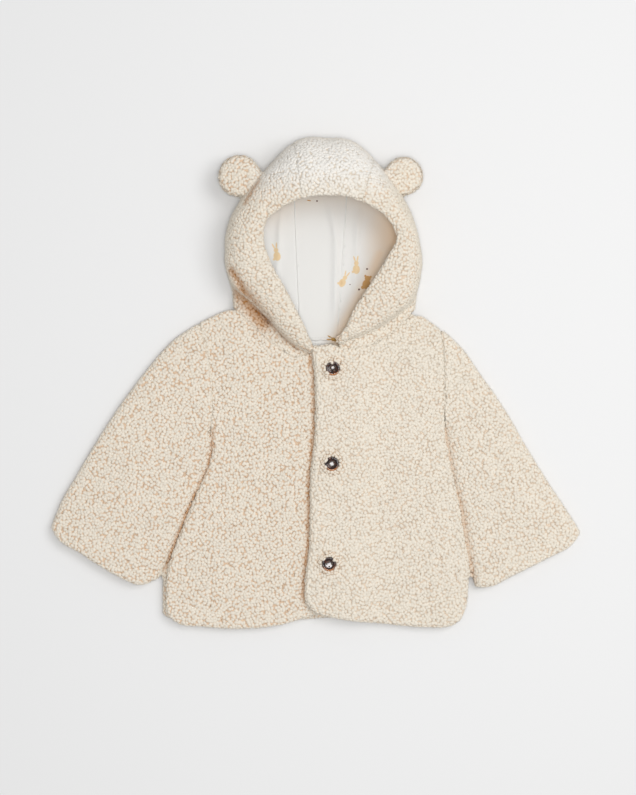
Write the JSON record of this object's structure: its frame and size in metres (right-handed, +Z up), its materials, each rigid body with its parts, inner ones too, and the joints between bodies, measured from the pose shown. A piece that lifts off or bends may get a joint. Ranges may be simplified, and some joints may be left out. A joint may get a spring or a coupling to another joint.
{
  "type": "hooded faux fur baby coat",
  "caption": "Baby's hooded coat of curly cream faux fur with round ears on the hood, a white jersey hood lining and a buttoned front, laid flat on its back.",
  "frame": {"origin": "middle of the coat's plan outline, on the surface it lies on", "axes": "+Z up off the surface, +Y from the hem to the hood, +X towards the wearer's left sleeve"},
  "size_m": [0.5682, 0.5262, 0.0763],
  "materials": {
    "faux_fur": "matte curly pile",
    "jersey": "smooth matte knit",
    "button": "polished marbled brown"
  },
  "bodies": {
    "root": {"back": "faux_fur", "front_right": "faux_fur", "front_left": "faux_fur", "sleeve_right": "faux_fur", "sleeve_left": "faux_fur", "hood_right": "faux_fur", "hood_centre": "faux_fur", "hood_left": "faux_fur", "ear_right_front": "faux_fur", "ear_right_back": "faux_fur", "ear_left_front": "faux_fur", "ear_left_back": "faux_fur", "hood_lining_right": "jersey", "hood_lining_centre": "jersey", "hood_lining_left": "jersey", "back_neck_facing": "jersey", "button_top": "button", "button_middle": "button", "button_bottom": "button"}
  },
  "joints": []
}
